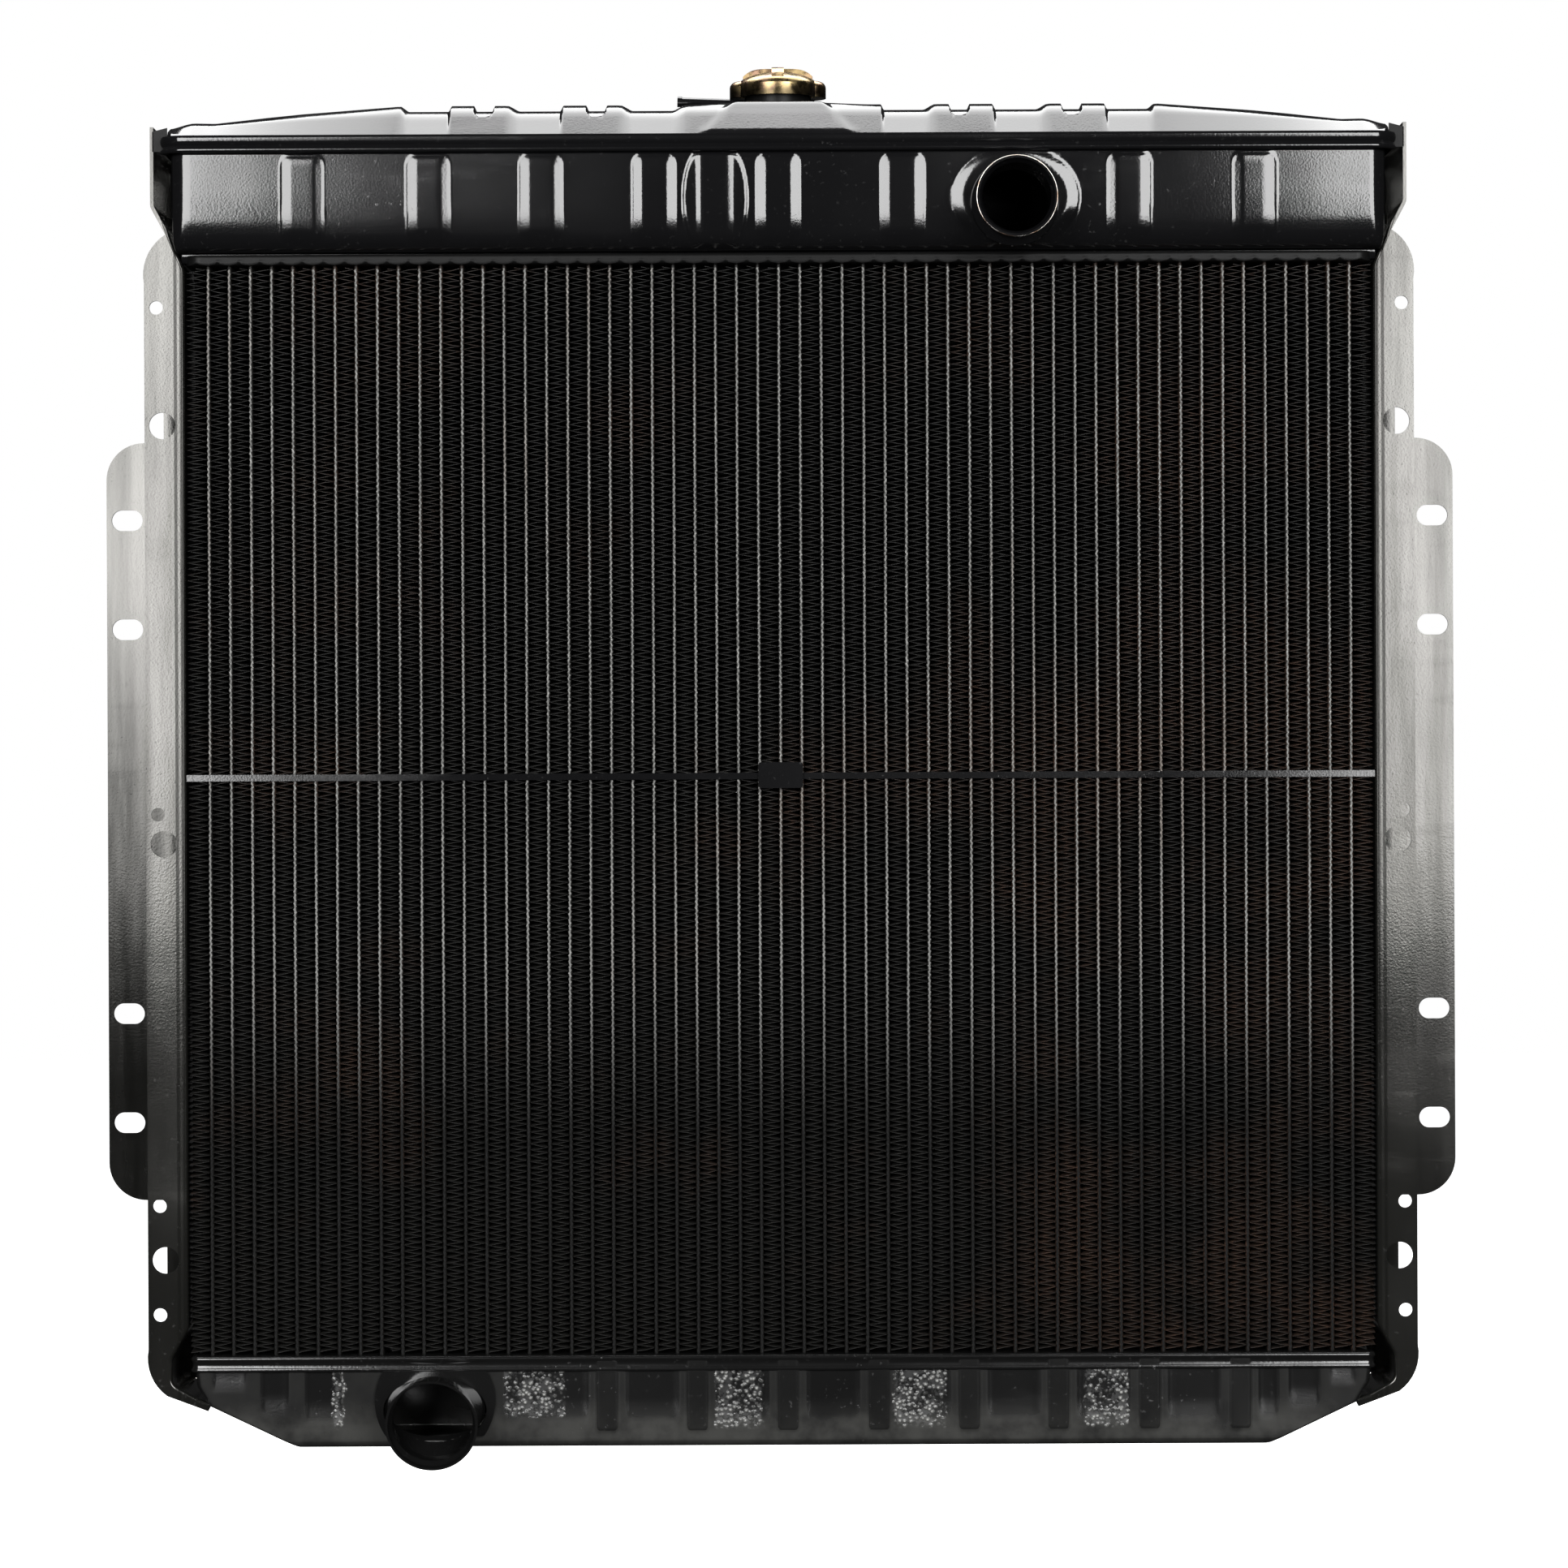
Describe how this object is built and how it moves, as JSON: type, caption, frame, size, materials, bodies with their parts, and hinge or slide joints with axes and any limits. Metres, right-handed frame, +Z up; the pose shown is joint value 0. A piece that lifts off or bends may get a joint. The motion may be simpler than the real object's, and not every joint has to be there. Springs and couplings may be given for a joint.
{
  "type": "car radiator",
  "caption": "Downflow radiator with pressed top and bottom tanks, fin-and-tube core, slotted side flanges, hose necks and a sprung pressure cap.",
  "frame": {"origin": "centre of the mounting slot pattern, on the rear face of the mounting flanges, where the radiator bolts to its support", "axes": "+X to the right seen from the engine side, +Y away from the engine towards the front of the vehicle, +Z up"},
  "size_m": [0.722, 0.1264, 0.7362],
  "materials": {
    "black_enamel": "gloss",
    "black_steel": "gloss",
    "tube_metal": "satin",
    "fin_copper": "satin",
    "gold_zinc": "satin",
    "spring_steel": "satin",
    "valve_brass": "satin",
    "seal_rubber": "matte"
  },
  "bodies": {
    "radiator": {"tube_row_front": "tube_metal", "tube_row_middle": "tube_metal", "tube_row_rear": "tube_metal", "fin_strips": "fin_copper", "top_header": "black_enamel", "bottom_header": "black_enamel", "top_tank_body": "black_enamel", "top_tank_cover": "black_enamel", "bottom_tank": "black_enamel", "inlet_neck": "black_enamel", "inlet_collar": "black_enamel", "outlet_neck": "black_enamel", "outlet_collar": "black_enamel", "filler_neck": "black_enamel", "overflow_nipple": "black_enamel", "side_member_right": "black_steel", "side_member_left": "black_steel", "mounting_flange_right": "black_steel", "mounting_flange_left": "black_steel", "tie_strap_front": "black_steel", "tie_strap_rear": "black_steel", "strap_clip": "black_steel", "drain_body": "valve_brass", "drain_washer": "seal_rubber"},
    "cap": {"cap_shell": "gold_zinc", "cap_rivet": "gold_zinc", "cap_spring_disc": "spring_steel", "cap_seal": "seal_rubber", "cap_pressure_spring": "spring_steel"},
    "pressure_valve": {"cap_valve_plate": "spring_steel", "cap_valve_seal": "seal_rubber", "cap_vacuum_spring": "spring_steel"},
    "vacuum_valve": {"cap_vacuum_valve": "valve_brass"},
    "drain_stem": {"drain_stem": "valve_brass"},
    "drain_wing": {"drain_wing": "valve_brass"}
  },
  "joints": [
    {"name": "cap_turn", "type": "hinge", "parent": "radiator", "child": "cap", "pos_m": [0, -0.02, 0.39], "axis": [0, 0, 1], "range_deg": [0, 90]},
    {"name": "pressure_valve_lift", "type": "slide", "parent": "cap", "child": "pressure_valve", "axis": [0, 0, 1], "range_m": [0, 0.003], "stiffness_N_per_m": 2000, "springref_m": -0.0005, "deforming": ["cap_pressure_spring"]},
    {"name": "vacuum_valve_drop", "type": "slide", "parent": "pressure_valve", "child": "vacuum_valve", "axis": [0, 0, -1], "range_m": [0, 0.0015], "stiffness_N_per_m": 200, "springref_m": -0.0005, "deforming": ["cap_vacuum_spring"]},
    {"name": "drain_stem_slide", "type": "slide", "parent": "radiator", "child": "drain_stem", "axis": [0, 1, 0], "range_m": [0, 0.00156]},
    {"name": "drain_wing_turn", "type": "hinge", "parent": "drain_stem", "child": "drain_wing", "pos_m": [0.214, 0.02, -0.308], "axis": [0, 1, 0], "range_deg": [0, 450]}
  ],
  "couplings": [
    {"joint": "drain_wing_turn", "follows": "drain_stem_slide", "rad_per_m": 5026.5}
  ]
}
